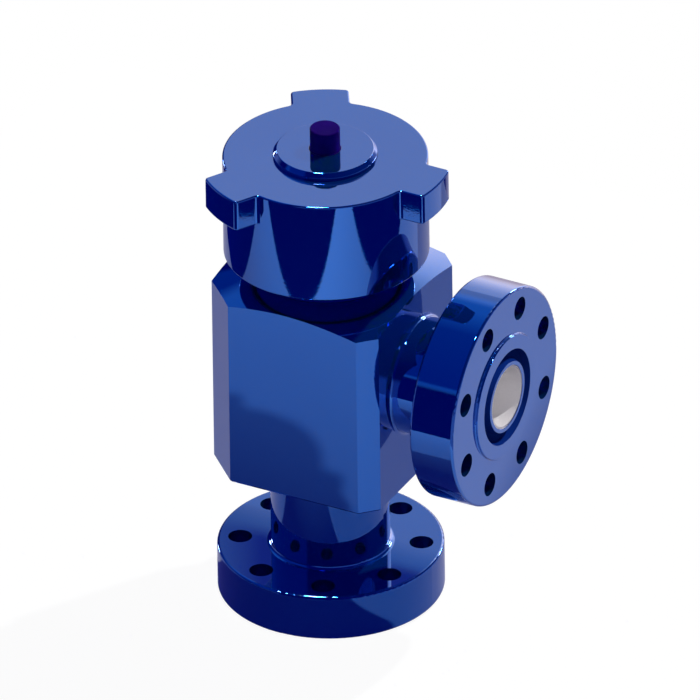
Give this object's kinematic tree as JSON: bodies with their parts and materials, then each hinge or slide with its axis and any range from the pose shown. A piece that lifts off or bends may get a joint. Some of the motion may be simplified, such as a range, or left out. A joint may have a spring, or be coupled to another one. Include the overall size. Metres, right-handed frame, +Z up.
{
  "type": "choke valve",
  "caption": "Angle choke valve: flanged side inlet and bottom outlet on a forged block, lugged bonnet nut on top, and a sliding stem that moves a gate onto its seat.",
  "frame": {"origin": "centre of the outlet's raised face, on the stem's axis", "axes": "+Z up along the stem, +X out of the side inlet"},
  "size_m": [0.3747, 0.289, 0.6312],
  "materials": {
    "body_paint": "glossy blue enamel",
    "nut_paint": "glossy blue enamel",
    "bonnet_paint": "glossy blue enamel",
    "sleeve_steel": "ground stainless",
    "carbide": "ground carbide",
    "alloy_steel": "machined",
    "stem_steel": "dark nitrided",
    "bushing_bronze": "machined bronze",
    "seal_rubber": "nitrile",
    "packing": "fabric-filled nitrile",
    "backup_ring": "filled fluoroplastic"
  },
  "bodies": {
    "valve_body": {"body": "body_paint", "inlet_sleeve": "sleeve_steel", "inlet_sleeve_seal": "seal_rubber", "outlet_sleeve": "sleeve_steel", "outlet_sleeve_seal": "seal_rubber", "seat": "carbide", "seat_seal": "seal_rubber", "seat_retainer": "alloy_steel", "bonnet_dowel_1": "alloy_steel", "bonnet_dowel_2": "alloy_steel"},
    "bonnet_group": {"bonnet": "bonnet_paint", "bonnet_seal": "seal_rubber", "bonnet_backup_ring_1": "backup_ring", "bonnet_backup_ring_2": "backup_ring", "nut_retaining_ring": "alloy_steel", "stem_wiper": "seal_rubber", "guide_bushing": "bushing_bronze", "packing_top_adapter": "alloy_steel", "packing_v_ring_1": "packing", "packing_v_ring_2": "packing", "packing_v_ring_3": "packing", "packing_bottom_adapter": "alloy_steel", "packing_gland": "alloy_steel", "lower_guide_bushing": "bushing_bronze"},
    "nut_group": {"bonnet_nut": "nut_paint"},
    "stem_group": {"stem": "stem_steel", "gate_holder": "alloy_steel", "holder_pin": "alloy_steel", "gate": "carbide", "gate_screw": "alloy_steel"}
  },
  "joints": [
    {"name": "bonnet_lift", "type": "slide", "parent": "valve_body", "child": "bonnet_group", "axis": [0, 0, 1], "range_m": [0, 0.0593]},
    {"name": "nut_turn", "type": "hinge", "parent": "bonnet_group", "child": "nut_group", "pos_m": [0, 0, 0.53], "axis": [0, 0, 1], "range_deg": [0, 2520]},
    {"name": "stem_travel", "type": "slide", "parent": "bonnet_group", "child": "stem_group", "axis": [0, 0, 1], "range_m": [0, 0.045]}
  ],
  "couplings": [
    {"joint": "bonnet_lift", "follows": "nut_turn", "m_per_rad": 0.0013475}
  ]
}
